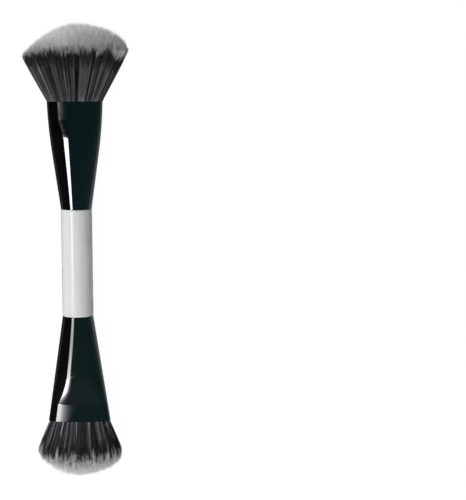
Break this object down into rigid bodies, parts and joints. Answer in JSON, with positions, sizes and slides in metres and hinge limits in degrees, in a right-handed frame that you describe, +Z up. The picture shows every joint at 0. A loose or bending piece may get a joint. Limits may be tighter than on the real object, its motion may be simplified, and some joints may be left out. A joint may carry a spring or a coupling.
{
  "type": "double ended makeup brush",
  "caption": "Double ended makeup brush: a short pale grip between two flared black ferrules, each holding a dense flat oval head of dip-dyed hair.",
  "frame": {"origin": "on the surface that the brush lies on, under the middle of its length and width", "axes": "+Y along the brush towards the tip of the large head, +X across the broad faces of both heads, +Z up out of the broad faces"},
  "size_m": [0.0419, 0.183, 0.0195],
  "materials": {
    "grip_lacquer": "gloss",
    "ferrule_black": "gloss",
    "bristles": "dark hair with pale dip-dyed tips",
    "thread": "matte",
    "glue": "satin"
  },
  "bodies": {
    "root": {"handle": "grip_lacquer", "large_ferrule": "ferrule_black", "large_bristles": "bristles", "large_root_tie": "thread", "large_root_glue": "glue", "small_ferrule": "ferrule_black", "small_bristles": "bristles", "small_root_tie": "thread", "small_root_glue": "glue"}
  },
  "joints": []
}
